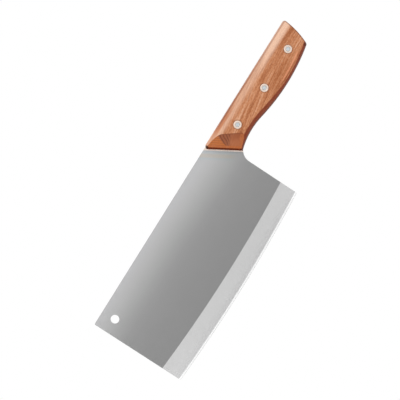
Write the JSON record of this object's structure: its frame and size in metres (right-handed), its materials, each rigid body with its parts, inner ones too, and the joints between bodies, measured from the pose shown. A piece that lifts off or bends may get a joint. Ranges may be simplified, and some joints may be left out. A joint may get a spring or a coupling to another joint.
{
  "type": "chinese cleaver",
  "caption": "Thin, tall slicing cleaver with a curved edge, a hanging hole, a full tang and a slim riveted wooden handle.",
  "frame": {"origin": "lowest point of the edge in height, middle of the whole length, middle of the blade's thickness", "axes": "+X from the toe to the butt of the handle, +Z from the edge up to the spine, +Y through the blade's thickness"},
  "size_m": [0.3, 0.0202, 0.0892],
  "materials": {
    "blade_steel": "satin, with a finer bevel and a bright sharpened edge",
    "handle_wood": "oiled reddish hardwood, softly polished",
    "rivet_metal": "ground flush and polished",
    "stud_metal": "satin"
  },
  "bodies": {
    "root": {"blade": "blade_steel", "left_scale": "handle_wood", "right_scale": "handle_wood", "front_rivet_cup": "rivet_metal", "middle_rivet_cup": "rivet_metal", "rear_rivet_cup": "rivet_metal", "front_rivet_stud": "stud_metal", "middle_rivet_stud": "stud_metal", "rear_rivet_stud": "stud_metal"}
  },
  "joints": []
}
